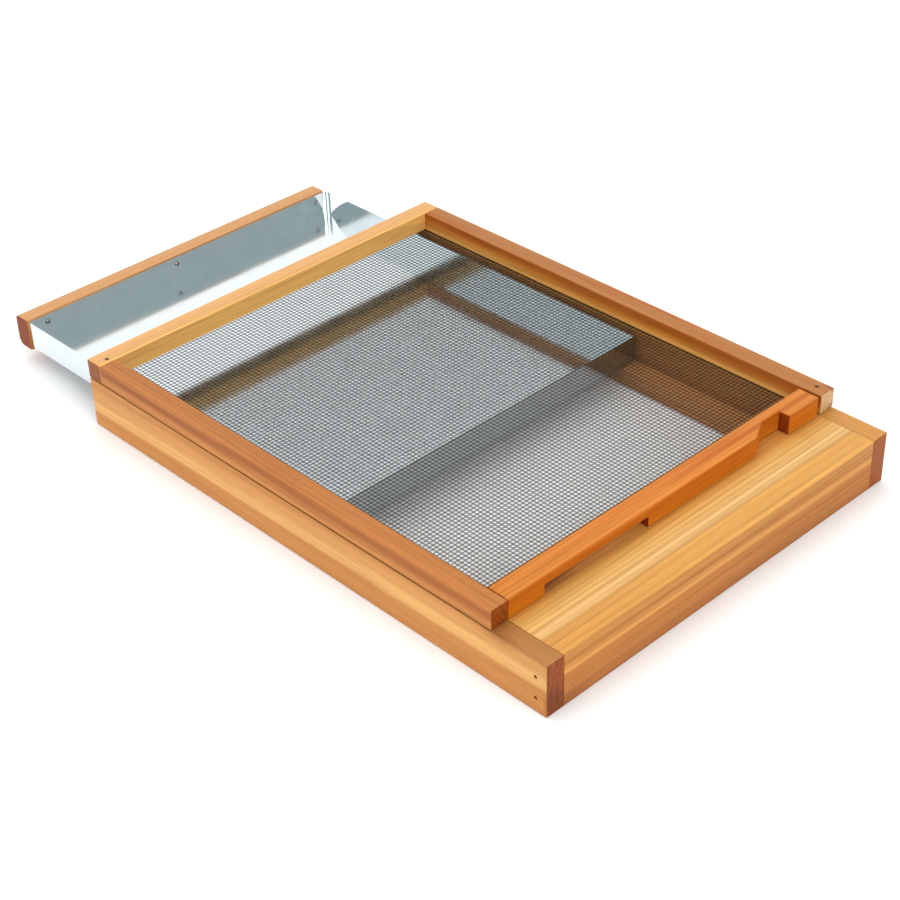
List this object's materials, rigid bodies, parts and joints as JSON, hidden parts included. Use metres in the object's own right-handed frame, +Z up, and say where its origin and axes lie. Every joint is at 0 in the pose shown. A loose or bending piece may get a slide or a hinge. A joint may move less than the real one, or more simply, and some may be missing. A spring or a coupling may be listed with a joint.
{
  "type": "beehive floor",
  "caption": "Wooden screened beehive floor with a pull-out sheet-metal tray, a wire screen, a landing board and a notched entrance reducer.",
  "frame": {"origin": "on the ground plane, at the centre of the footprint with the tray pulled out to its rest position", "axes": "+X to the right seen from the entrance, +Y from the entrance to the tray handle, +Z up"},
  "size_m": [0.413, 0.709, 0.0685],
  "materials": {
    "rail_wood": "waxed softwood",
    "runner_wood": "waxed softwood",
    "strip_wood": "waxed softwood",
    "board_wood": "waxed softwood",
    "reducer_wood": "waxed softwood",
    "handle_wood": "waxed softwood",
    "screen_wire": "galvanised wire",
    "tray_sheet": "bright galvanised sheet",
    "fastener_steel": "plain steel"
  },
  "bodies": {
    "frame": {"left_rail": "rail_wood", "right_rail": "rail_wood", "left_runner": "runner_wood", "right_runner": "runner_wood", "left_top_strip": "strip_wood", "right_top_strip": "strip_wood", "rear_top_strip": "strip_wood", "front_board": "board_wood", "landing_board": "board_wood", "screen_long_wires": "screen_wire", "screen_cross_wires": "screen_wire", "screen_front_staples": "fastener_steel", "screen_rear_staples": "fastener_steel", "rear_strip_nails": "fastener_steel", "left_rail_nails": "fastener_steel", "left_runner_nails": "fastener_steel", "left_strip_nails": "fastener_steel", "right_rail_nails": "fastener_steel", "right_runner_nails": "fastener_steel", "right_strip_nails": "fastener_steel"},
    "tray": {"tray_pan": "tray_sheet", "tray_handle": "handle_wood", "tray_handle_screws": "fastener_steel"},
    "reducer": {"entrance_reducer": "reducer_wood"}
  },
  "joints": [
    {"name": "tray_slide", "type": "slide", "parent": "frame", "child": "tray", "axis": [0, 1, 0], "range_m": [-0.148, 0.28]},
    {"name": "reducer_slide", "type": "slide", "parent": "frame", "child": "reducer", "axis": [0, -1, 0], "range_m": [0, 0.056]}
  ]
}
